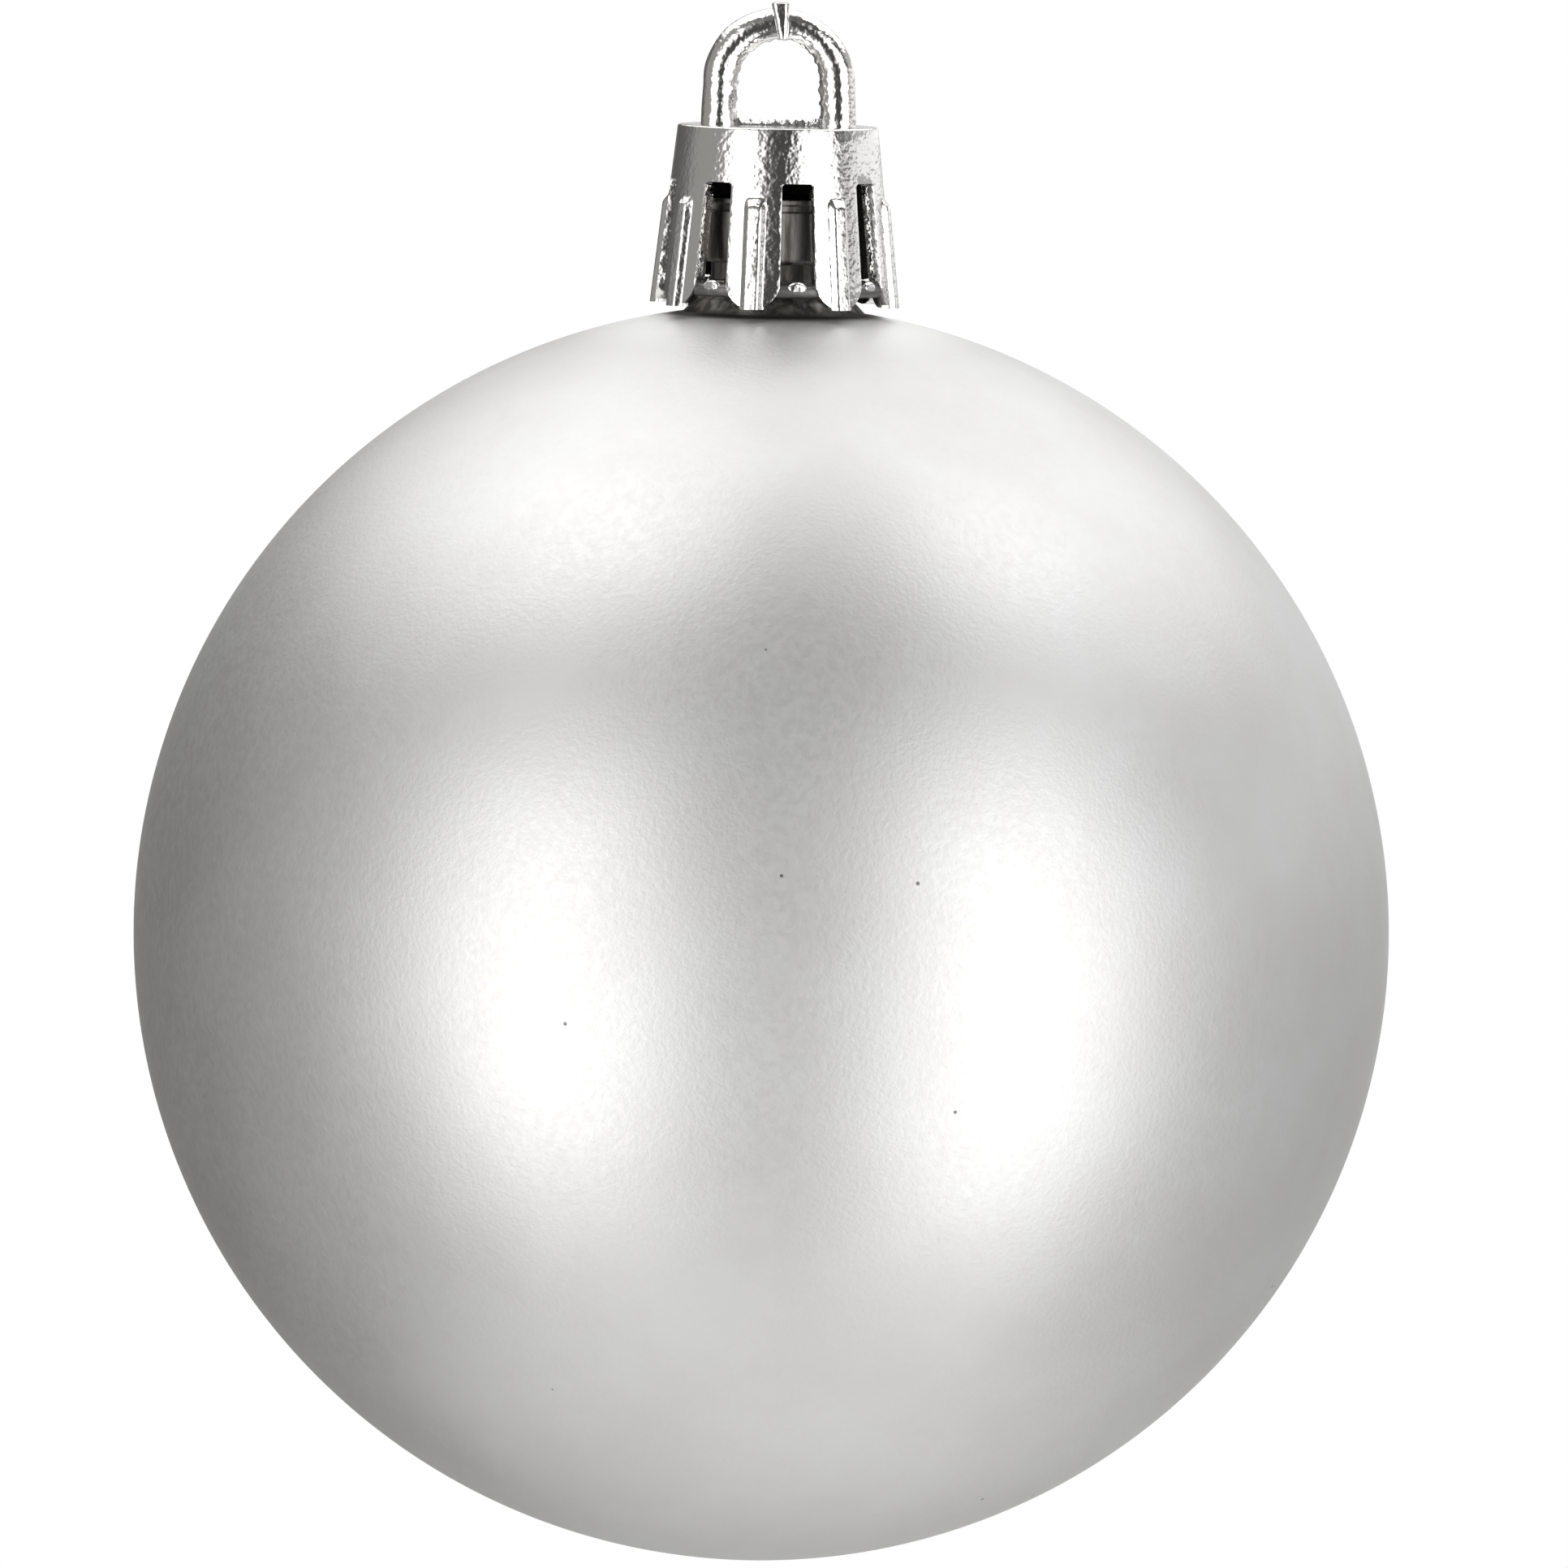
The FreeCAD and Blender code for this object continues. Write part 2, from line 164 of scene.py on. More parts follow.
class CapSettings(bpy.types.PropertyGroup):
    eye_width: length("Eye width", 3.92, "Width of the loop's opening")
    eye_height: length("Eye height", 4.12, "Height of the loop's opening above the flat top")
    crown: length("Loop crown", 1.47, "Thickness of the loop at its top")
    leg_width: length("Leg width", 1.65, "Width of a leg of the loop")
    leg_splay: length("Leg splay", 0.1, "How far a leg leans out at its foot")
    loop_depth: length("Loop depth", 1.6, "Size of the loop from front to back")
    gate_width: length("Gate width", 0.85, "Width of the stub left by the mould's gate")
    gate_length: length("Gate length", 1.7, "Height of the gate stub")
    gate_proud: length("Gate proud", 0.26, "How far the gate stub stands out of the loop")
    gate_round: length("Gate rounding", 0.24, "Radius of the gate stub's upright edges")
    gate_edge: length("Gate edge", 0.08, "Radius of the gate stub's upper edge")
    gate_taper: fraction("Gate taper", 0.6, "Width of the stub's foot as a share of its head")
    swell: length("Swell", 0.07, "Height of the slow swells of the loop's plating")
    swell_length: length("Swell length", 1.7, "Length of a slow swell")
    lump: length("Lump", 0.16, "Height of the lumps along the loop's inner side")
    lump_length: length("Lump length", 0.32, "Length of a lump")
    sill_height: length("Sill height", 0.3, "Height of the rough flash between the loop's legs")
    sill_depth: length("Sill depth", 0.9, "Size of that flash from front to back")
    wall: length("Wall", 0.65, "Thickness of the skirt")
    top_thickness: length("Top thickness", 0.8, "Thickness of the flat top")
    top_diameter: length("Top diameter", 9.55, "Diameter of the flat top")
    top_round: length("Top edge", 0.1, "Radius of the edge round the flat top")
    flare: angle("Flare", 6.3, "Slope of the skirt from upright")
    turn: angle("Turn", 11.5, "Angle of the first window from the front")
    window_drop: length("Window drop", 2.6, "Height from a window's head to the flat top")
    window_head: length("Window head", 1.5, "Width of a window at its head")
    window_foot: length("Window foot", 1.8, "Width of a window at its foot")
    window_corner: length("Window corner", 0.2, "Radius of a window's upper corners")
    tip_radius: length("Petal tip", 1.4, "Radius of a petal's round tip")
    edge: length("Edge rounding", 0.05, "Radius that the plating gives every small edge")
    rib_width: length("Rib width", 0.85, "Width of the rib down a petal")
    rib_proud: length("Rib height", 0.3, "How far a rib stands out of the skirt")
    rib_flank: length("Rib flank", 0.32, "Width of the slope from a rib's face to the skirt")
    rib_drop: length("Rib drop", 3.35, "Height from a rib's head to the flat top")
    ring_section: length("Ring section", 0.66, "Thickness of the ring between the petals")
    ring_height: length("Ring height", 0.85, "Height of the ring's middle above the petal tips")
    prong_width: length("Prong width", 1.0, "Width of a snap prong")
    prong_thickness: length("Prong thickness", 0.7, "Height of a snap prong")
    prong_height: length("Prong place", 1.0, "Height of a prong's middle above the petal tips")
    prong_reach: length("Prong reach", 3.35, "Radius that a prong reaches in to")
    plating: colour("Plating", "#E2E1DF", "Colour of the bright plating")
    # painted shade: the near-black colour inside the cap and on the ring between the petals
    dull_plate_painted_shade: colour("Dull plate", "#242322", "Colour of the thin plate inside the cap")
    bright_roughness: fraction("Bright roughness", 0.13, "Roughness of the bright plating")
    dull_roughness: fraction("Dull roughness", 0.5, "Roughness of the thin plate inside the cap")
    wave_size: length("Wave size", 1.6, "Distance between the slow waves of the moulding")
    wave_height: length("Wave height", 0.03, "Height of the slow waves of the moulding")
    pebble_size: length("Pebble size", 0.28, "Distance between the pebbles of the mould's face")
    pebble_height: length("Pebble height", 0.035, "Height of the pebbles of the mould's face")


class StageSettings(bpy.types.PropertyGroup):
    distance: length("Camera distance", 800.0, "Camera to the middle of the ball")
    elevation: angle("Camera elevation", 4.2, "Height of the camera above the level of the ball")
    roll: angle("Camera roll", 1.2, "Turn of the camera about its line of sight")
    frame_width: length("Frame width", 74.98, "Width that the picture covers at the ball")
    aim_right: length("Aim right", 1.09, "Middle of the picture to the right of the ball's middle")
    aim_up: length("Aim up", 7.1, "Middle of the picture above the ball's middle")
    floor_drop: length("Floor drop", 400.0, "Height of the hanging ball above the floor")
    floor_size: length("Floor size", 645.0, "Width and depth of the floor")
    paper: colour("Floor", "#E8E8E7", "Colour of the floor")
    room_left: colour("Room, left", "#A09F9D", "Colour of the room to the left, as the ball reflects it")
    room_right: colour("Room, right", "#282828", "Colour of the room to the right, behind its soft light")
    slot_turn: angle("Dark slot turn", 10.0, "Place of the dark slot behind the camera, towards +X")
    slot_width: angle("Dark slot width", 20.0, "Half width of the dark slot behind the camera")
    slot_light: fraction("Dark slot light", 0.4, "Brightness of the dark slot as a share of the room's")
    corner_turn: angle("Dark corner turn", -148.0, "Place of the dark corner behind the ball, towards +X")
    corner_width: angle("Dark corner width", 48.0, "Half width of the dark corner behind the ball")
    corner_light: fraction("Dark corner light", 0.4, "Brightness of the dark corner as a share of the room's")


def sizes(group):
    """Every length in a settings group in millimetres, and its other values as they are."""
    values = {}
    for key in group.__annotations__:
        value = getattr(group, key)
        is_length = group.bl_rna.properties[key].unit == "LENGTH"
        values[key] = value / MM if is_length else value
    return SimpleNamespace(**values)


# ---- shapes, in millimetres until finish_piece ----

def ball_top(radius):
    """Height of the ball's upper face at a distance from the axis."""
    return BALL_CENTRE_Z + math.sqrt(BALL_RADIUS ** 2 - radius ** 2)


def rounded(corners):
    """Points along an open outline in the XZ plane from (x, z, corner radius), with its arcs drawn."""
    points = []
    for i, (x, z, radius) in enumerate(corners):
        here = Vector((x, 0, z))
        if radius == 0:
            points.append(here)
            continue
        before_x, before_z, _ = corners[i - 1]
        after_x, after_z, _ = corners[i + 1]
        before = (Vector((before_x, 0, before_z)) - here).normalized()
        after = (Vector((after_x, 0, after_z)) - here).normalized()
        half = before.angle(after) / 2
        centre = here + (before + after).normalized() * (radius / math.sin(half))
        start = here + before * (radius / math.tan(half)) - centre
        end = here + after * (radius / math.tan(half)) - centre
        steps = max(2, math.ceil(start.angle(end) / ARC_FACET))
        for k in range(steps + 1):
            points.append(centre + start.slerp(end, k / steps).normalized() * radius)
    return points


def arc(radius, centre_z, start, end, steps):
    """Points on a circle about the axis, from one angle above the horizon to another."""
    angles = (start + (end - start) * k / steps for k in range(steps + 1))
    return [Vector((radius * math.cos(a), 0, centre_z + radius * math.sin(a))) for a in angles]


def polyline(bm, points):
    verts = [bm.verts.new(point) for point in points]
    edges = [bm.edges.new(pair) for pair in zip(verts, verts[1:])]
    return verts, edges


def extruded(bm, section, rise):
    """Carry a ring of edges up or down, and give back its new edges."""
    grown = bmesh.ops.extrude_edge_only(bm, edges=section)["geom"]
    bmesh.ops.translate(bm, vec=(0, 0, rise), verts=[g for g in grown if isinstance(g, bmesh.types.BMVert)])
    return [g for g in grown if isinstance(g, bmesh.types.BMEdge)]


def spun(bm, points, steps):
    """Spin an outline in the XZ plane all the way round Z."""
    verts, edges = polyline(bm, points)
    bmesh.ops.spin(bm, geom=verts + edges, cent=(0, 0, 0), axis=(0, 0, 1), angle=math.tau,
                   steps=steps, use_merge=True, use_duplicate=False)
    bmesh.ops.remove_doubles(bm, verts=bm.verts[:], dist=TOLERANCE)


def repeat_around(bm, first_turn):
    """Turn what is in the mesh from the front (-Y) to a place, and copy it to all eight."""
    bmesh.ops.rotate(bm, cent=(0, 0, 0), matrix=Matrix.Rotation(first_turn, 3, "Z"), verts=bm.verts[:])
    geometry = bm.verts[:] + bm.edges[:] + bm.faces[:]
    bmesh.ops.spin(bm, geom=geometry, cent=(0, 0, 0), axis=(0, 0, 1), angle=PITCH * (WINDOWS - 1),
                   steps=WINDOWS - 1, use_merge=False, use_duplicate=True)


def soften(bm, edges, offset, segments=2):
    bmesh.ops.bevel(bm, geom=edges, offset=offset, offset_type="OFFSET", segments=segments,
                    profile=0.5, affect="EDGES", clamp_overlap=True, material=-1)


def step(share):
    """Smooth step from 0 to 1."""
    share = max(0.0, min(1.0, share))
    return share * share * (3 - 2 * share)


def sharp_edges(bm):
    return [e for e in bm.edges if len(e.link_faces) == 2 and e.calc_face_angle() > SHARP_ABOVE]


def finish_piece(bm, name, body, node, material):
    """Scale to metres, make the object, and tell the frame what it stands for."""
    bmesh.ops.recalc_face_normals(bm, faces=bm.faces[:])
    bmesh.ops.scale(bm, vec=(MM, MM, MM), verts=bm.verts[:])
    mesh = bpy.data.meshes.new(name)
    bm.to_mesh(mesh)
    bm.free()
    mesh.shade_smooth()
    mesh.set_sharp_from_angle(angle=SMOOTH_BELOW)
    mesh.materials.append(material)
    piece = bpy.data.objects.new(name, mesh)
    bpy.context.scene.collection.objects.link(piece)
    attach(piece, body)
    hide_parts(node)


# ---- materials ----

def add_node(tree, kind, settings=None, **inputs):
    """Add a shader node; an input is a value, or an output socket to link from.

    Inputs go by the socket's name, or by its number as at_0, at_1 where names repeat.
    """
    node = tree.nodes.new(kind)
    for key, value in (settings or {}).items():
        setattr(node, key, value)
    for key, value in inputs.items():
        socket = node.inputs[int(key[3:]) if key.startswith("at_") else key.replace("_", " ")]
        if isinstance(value, bpy.types.NodeSocket):
            tree.links.new(value, socket)
        else:
            socket.default_value = value
    return node


def maths(tree, operation, first, second):
    """One value worked out from two."""
    return add_node(tree, "ShaderNodeMath", {"operation": operation}, at_0=first, at_1=second).outputs[0]


def noise(tree, place, crest, detail=2.0, roughness=0.6):
    """Noise in the object's own space, with its crests a given number of millimetres apart."""
    node = add_node(tree, "ShaderNodeTexNoise", Vector=place, Scale=1 / (crest * MM), Detail=detail,
                    Roughness=roughness)
    return node.outputs["Fac"]


def bump(tree, height, millimetres, below=None):
    """Normal of a surface whose height varies by a number of millimetres."""
    node = add_node(tree, "ShaderNodeBump", Height=height, Strength=1.0, Distance=millimetres * MM)
    if below:
        tree.links.new(below, node.inputs["Normal"])
    return node.outputs["Normal"]


def ramp(tree, value, low, high, start=0.0, end=1.0):
    """Smooth step from start to end while a value goes from low to high."""
    node = add_node(tree, "ShaderNodeMapRange", {"interpolation_type": "SMOOTHSTEP"}, Value=value,
                    From_Min=low, From_Max=high, To_Min=start, To_Max=end)
    return node.outputs["Result"]


def blend(tree, share, first, second):
    """Colour between two colours."""
    node = add_node(tree, "ShaderNodeMix", {"data_type": "RGBA"}, at_0=share)
    for socket, value in ((node.inputs[6], first), (node.inputs[7], second)):
        if isinstance(value, bpy.types.NodeSocket):
            tree.links.new(value, socket)
        else:
            socket.default_value = (*value, 1)
    return node.outputs[2]


def new_material(name):
    material = bpy.data.materials.get(name)
    if material:
        return material, None
    material = bpy.data.materials.new(name)
    material.use_nodes = True
    material.node_tree.nodes.clear()
    return material, material.node_tree


def satin_lacquer():
    """Vacuum-metallised polystyrene under a sprayed satin lacquer: a broad soft sheen, orange peel, with a
    painted shadow round the neck and a painted light ring outside it.
    """
    material, tree = new_material("satin_lacquer_on_metallised_polystyrene")
    if tree is None:
        return material
    settings = bpy.context.scene.ornament_ball
    s = sizes(settings)
    foot_z = ball_top(s.foot_diameter / 2)
    place = add_node(tree, "ShaderNodeTexCoord").outputs["Object"]
    # the neck has only a thin coat, with streaks along the way it was drawn from the mould
    height = add_node(tree, "ShaderNodeSeparateXYZ", Vector=place).outputs["Z"]
    on_neck = ramp(tree, height, foot_z * MM, (foot_z + NECK_FADE) * MM)
    drawn = add_node(tree, "ShaderNodeMapping", Vector=place, Scale=(1, 1, STREAK_STRETCH)).outputs["Vector"]
    streaks = ramp(tree, noise(tree, drawn, s.streak_width, 3.0), *STREAK_RANGE)
    thin_coat = blend(tree, streaks, settings.neck_dark, settings.neck_light)
    # painted shadow and reflection of the cap: the ball's colour is darkened round the neck
    flat = add_node(tree, "ShaderNodeVectorMath", {"operation": "MULTIPLY"}, at_0=place, at_1=(1, 1, 0))
    radius = add_node(tree, "ShaderNodeVectorMath", {"operation": "LENGTH"}, at_0=flat.outputs[0])
    radius = radius.outputs["Value"]
    painted_shadow_near = ramp(tree, radius, s.painted_shadow_inner * MM, s.painted_shadow_outer * MM, 1.0, 0.0)
    above = ramp(tree, height, *((BALL_CENTRE_Z + rise) * MM for rise in UPPER_FADE))
    painted_cap_shadow = maths(tree, "MULTIPLY", painted_shadow_near, above)
    # the neck was cut off after coating, so its rim and bore are bare matt plastic
    at_rim = ramp(tree, height, *((RIM_Z - depth) * MM for depth in RIM_FADE))
    in_bore = ramp(tree, radius, *((s.neck_bore / 2 + out) * MM for out in BORE_FADE), 1.0, 0.0)
    bare = maths(tree, "MAXIMUM", at_rim, maths(tree, "MULTIPLY", in_bore, on_neck))
    neck = blend(tree, bare, thin_coat, settings.bare_rim)
    # dust under the lacquer: a speck wherever a scattered point falls close to the surface
    dust = add_node(tree, "ShaderNodeTexVoronoi", Vector=place, Scale=1 / (s.dust_spacing * MM))
    speck = s.dust_size / s.dust_spacing
    clean = ramp(tree, dust.outputs["Distance"], *(speck * share for share in SPECK_EDGE))
    # slow changes in the thickness of the coat
    cloud = ramp(tree, noise(tree, place, s.cloud_size, 3.0), *NOISE_RANGE)
    coat = blend(tree, cloud, settings.lacquer_thin, settings.lacquer)
    # painted light: the ball's colour is lightened in a ring just outside the painted shadow round the neck
    outside = ramp(tree, radius, s.painted_shadow_outer * MM, 2 * s.painted_shadow_outer * MM, 1.0, 0.0)
    coat = blend(tree, maths(tree, "MULTIPLY", outside, above), coat, settings.painted_light_ring)
    body = blend(tree, painted_cap_shadow, blend(tree, clean, settings.dust, coat), settings.painted_cap_shadow)
    shader = add_node(tree, "ShaderNodeBsdfPrincipled", Metallic=ramp(tree, bare, 0.0, 1.0, 1.0, 0.0),
                      Base_Color=blend(tree, on_neck, body, neck),
                      Roughness=ramp(tree, noise(tree, place, s.grain_size), *NOISE_RANGE,
                                     s.smooth_places, s.rough_places),
                      Specular_IOR_Level=0.0, Specular_Tint=(0.7, 0.7, 0.7, 1),
                      Normal=bump(tree, noise(tree, place, s.peel_size), s.peel_height))
    add_node(tree, "ShaderNodeOutputMaterial", Surface=shader.outputs["BSDF"])
    return material


def bright_plating():
    """Chrome-bright electroplate on moulded ABS: mirror-like, with the moulding's small ripples."""
    material, tree = new_material("bright_plate_on_moulded_abs")
    if tree is None:
        return material
    settings = bpy.context.scene.ornament_cap
    s = sizes(settings)
    place = add_node(tree, "ShaderNodeTexCoord").outputs["Object"]
    # inside the cap the plate is thin and dull, and its colour is painted near-black as shade
    inside = add_node(tree, "ShaderNodeAttribute", {"attribute_name": INSIDE}).outputs["Fac"]
    # pebbled mould face under the plate, and slower waves in the moulding
    waves = bump(tree, noise(tree, place, s.wave_size, 1.0), s.wave_height)
    pebbles = bump(tree, noise(tree, place, s.pebble_size, 1.0, 0.5), s.pebble_height, waves)
    shader = add_node(tree, "ShaderNodeBsdfPrincipled", Metallic=1.0, Normal=pebbles,
                      Base_Color=blend(tree, inside, settings.plating, settings.dull_plate_painted_shade),
                      Roughness=ramp(tree, inside, 0.0, 1.0, s.bright_roughness, s.dull_roughness))
    add_node(tree, "ShaderNodeOutputMaterial", Surface=shader.outputs["BSDF"])
    return material


def seen_white(tree, shader):
    """What lights the ornament by its own colour but shows as plain white behind it."""
    path = add_node(tree, "ShaderNodeLightPath")
    kind = "ShaderNodeBackground" if shader.bl_idname == "ShaderNodeBackground" else "ShaderNodeEmission"
    white = add_node(tree, kind, Color=(1, 1, 1, 1), Strength=1.0)
    mix = add_node(tree, "ShaderNodeMixShader", Fac=path.outputs["Is Camera Ray"])
    tree.links.new(shader.outputs[0], mix.inputs[1])
    tree.links.new(white.outputs[0], mix.inputs[2])
    return mix.outputs[0]


def pale_paper():
    """Matt white background paper, evenly lit so that it shows no edge or shade of its own."""
    material, tree = new_material("matt_background_paper")
    tint = bpy.context.scene.ornament_stage.paper
    paper = add_node(tree, "ShaderNodeBsdfDiffuse", Color=(*tint, 1))
    add_node(tree, "ShaderNodeOutputMaterial", Surface=seen_white(tree, paper))
    return material


# ---- pieces ----

class ORNAMENT_OT_ball(bpy.types.Operator):
    """Spin the hollow ball with its open neck"""
    bl_idname = "ornament.ball"
    bl_label = "Ball"

    def execute(self, context):
        s = sizes(context.scene.ornament_ball)
        base, foot = s.base_diameter / 2, s.foot_diameter / 2
        bead, under, bore = s.neck_diameter / 2, s.undercut_diameter / 2, s.neck_bore / 2
        foot_z = ball_top(foot)
        bead_z = RIM_Z - s.bead_length
        lip_z = RIM_Z - s.lip_height
        groove_z = lip_z - s.lip_height
        edge = s.lip_height / 3
        inner = BALL_RADIUS - s.wall
        shoulder = foot + 2 * s.base_fillet
        outside = arc(BALL_RADIUS, BALL_CENTRE_Z, -math.pi / 2, math.acos(shoulder / BALL_RADIUS), 150)
        last = outside[-1]
        neck = rounded([
            (last.x, last.z, 0),
            (foot, foot_z, s.base_fillet),
            (base, foot_z + s.base_height, BASE_ROUND),
            (under, foot_z + s.base_height + s.base_taper, BASE_ROUND),
            (under, bead_z, BEAD_FOOT_ROUND),
            (bead, bead_z, s.bead_round),
            (bead, groove_z, edge),
            (bead - s.groove_depth, groove_z, GROOVE_ROUND),
            (bead - s.groove_depth, lip_z, GROOVE_ROUND),
            (bead, lip_z, edge),
            (bead, RIM_Z, edge),
            (bore, RIM_Z, edge),
            (bore, BALL_CENTRE_Z + math.sqrt(inner ** 2 - bore ** 2), 0),
        ])
        inside = arc(inner, BALL_CENTRE_Z, math.acos(bore / inner), -math.pi / 2, 40)
        bm = bmesh.new()
        spun(bm, outside[:-1] + neck + inside[1:], steps=192)
        finish_piece(bm, "ball_shell", "ball", "ball", satin_lacquer())
        return {"FINISHED"}


def skirt_radius(s, z, outward=0.0):
    """Radius of the skirt's outer face at a height, or of a face parallel to it."""
    return s.top_diameter / 2 + math.tan(s.flare) * (-s.eye_height - z) + outward


def petal_outline(s):
    """One petal with its share of the collar, flattened: x is an angle in units of REF, z a height.

    Above the flat top's edge, z carries on inwards along the flat top to the axis.
    """
    top_z = -s.eye_height
    head_z = top_z - s.window_drop
    foot_z = PETAL_TIP_Z + s.tip_radius
    half = PITCH / 2

    def side(z):
        share = (head_z - z) / (head_z - PETAL_TIP_Z)
        width = s.window_head + (s.window_foot - s.window_head) * share
        return half - math.asin(width / 2 / skirt_radius(s, z))

    tip = []
    tip_skirt = skirt_radius(s, PETAL_TIP_Z)
    reach = side(foot_z - s.tip_radius * TIP_SHOULDER) * tip_skirt
    start = math.asin(min(1.0, reach / s.tip_radius))
    steps = 10
    for k in range(steps + 1):
        a = start * (1 - 2 * k / steps)
        tip.append((s.tip_radius * math.sin(a) / tip_skirt, foot_z - s.tip_radius * math.cos(a)))
    corner = s.window_corner / skirt_radius(s, head_z)
    right = [(half, top_z + s.top_diameter / 2), (half, head_z)]
    steps = 4
    for k in range(steps + 1):
        a = k / steps * math.pi / 2
        x = side(head_z) + corner * (1 - math.sin(a))
        right.append((x, head_z - s.window_corner * (1 - math.cos(a))))
    left = [(-x, z) for x, z in reversed(right)]
    return right + tip + left


class ORNAMENT_OT_cap_skirt(bpy.types.Operator):
    """Shape one petal of the cap, bend it round the axis and repeat it"""
    bl_idname = "ornament.cap_skirt"
    bl_label = "Cap skirt"

    def execute(self, context):
        s = sizes(context.scene.ornament_cap)
        top_z = -s.eye_height
        ceiling_z = top_z - s.top_thickness
        half = PITCH / 2
        spread = skirt_radius(s, top_z)
        bm = bmesh.new()
        flat = [bm.verts.new((x * spread, 0, z)) for x, z in petal_outline(s)]
        bm.faces.new(flat)
        columns = [math.radians(a) for a in range(-18, 19, 3)]
        rows = [top_z + s.top_diameter / 3, top_z + s.top_diameter / 6, top_z]
        rows += [ceiling_z - FACE_STEP * k for k in range(11)]
        for across, places in (((1, 0, 0), [c * spread for c in columns]), ((0, 0, 1), rows)):
            for place in places:
                bmesh.ops.bisect_plane(bm, geom=bm.verts[:] + bm.edges[:] + bm.faces[:], dist=1e-5,
                                       plane_co=Vector(across) * place, plane_no=across)
        bmesh.ops.solidify(bm, geom=bm.faces[:], thickness=s.wall)
        ends = [f for f in bm.faces if all(abs(abs(v.co.x) - half * spread) < TOLERANCE for v in f.verts)]
        axis_z = top_z + s.top_diameter / 2
        ends += [f for f in bm.faces if all(abs(v.co.z - axis_z) < TOLERANCE for v in f.verts)]
        bmesh.ops.delete(bm, geom=ends, context="FACES")
        inner_wall = s.wall / math.cos(s.flare)
        ceiling_radius = skirt_radius(s, ceiling_z, -inner_wall)
        for vert in bm.verts:
            turn, z = vert.co.x / spread, vert.co.z
            outer = abs(vert.co.y) < s.wall / 2
            flat_radius = max(0.0, s.top_diameter / 2 - (z - top_z))
            if outer:
                radius = skirt_radius(s, z) if z <= top_z else flat_radius
                z = min(z, top_z)
            else:
                share = min(1.0, flat_radius / (s.top_diameter / 2))
                radius = skirt_radius(s, z, -inner_wall) if z <= ceiling_z else ceiling_radius * share
                z = min(z, ceiling_z)
            vert.co = (radius * math.sin(turn), -radius * math.cos(turn), z)
        repeat_around(bm, s.turn + PITCH / 2)
        bmesh.ops.remove_doubles(bm, verts=bm.verts[:], dist=TOLERANCE)
        bmesh.ops.recalc_face_normals(bm, faces=bm.faces[:])
        rim = [e for e in sharp_edges(bm) if all(
            abs(v.co.z - top_z) < TOLERANCE and v.co.xy.length > s.top_diameter / 2 - 0.01 for v in e.verts)]
        soften(bm, rim, s.top_round, 3)
        small = [e for e in sharp_edges(bm) if max(v.co.z for v in e.verts) < ceiling_z - 0.1]
        soften(bm, small, s.edge)
        # faces inside the cap take the dull plate and its painted shade
        inside = bm.faces.layers.float.new(INSIDE)
        for face in bm.faces:
            middle = face.calc_center_median()
            inward = face.normal.xy.dot(middle.xy.normalized()) < -0.5
            face[inside] = 1.0 if inward or (face.normal.z < -0.5 and middle.z > ceiling_z - 0.1) else 0.0
        finish_piece(bm, "cap_skirt", "cap", "cap", bright_plating())
        return {"FINISHED"}


class ORNAMENT_OT_cap_ribs(bpy.types.Operator):
    """Round-headed rib down each petal"""
    bl_idname = "ornament.cap_ribs"
    bl_label = "Cap ribs"

    def execute(self, context):
        s = sizes(context.scene.ornament_cap)
        top_z = -s.eye_height - s.rib_drop
        half = s.rib_width / 2 + s.rib_flank / 2
        bm = bmesh.new()
        bmesh.ops.create_grid(bm, x_segments=16, y_segments=48, size=0.5)
        for vert in bm.verts:
            x = vert.co.x * 2 * half
            z = PETAL_TIP_Z + (vert.co.y + 0.5) * (top_z + s.rib_flank / 2 - PETAL_TIP_Z)
            across = step((half - abs(x)) / s.rib_flank)
            head = step((top_z + s.rib_flank / 2 - z) / s.rib_flank / 2)
            radius = skirt_radius(s, z, s.rib_proud * across * head - RIB_SUNK * (1 - across * head))
            vert.co = (radius * math.sin(x / radius), -radius * math.cos(x / radius), z)
        backs = bmesh.ops.extrude_face_region(bm, geom=bm.faces[:])["geom"]
        for vert in (g for g in backs if isinstance(g, bmesh.types.BMVert)):
            vert.co.y += s.wall / 2
        repeat_around(bm, s.turn + PITCH / 2)
        finish_piece(bm, "cap_ribs", "cap", "cap", bright_plating())
        return {"FINISHED"}


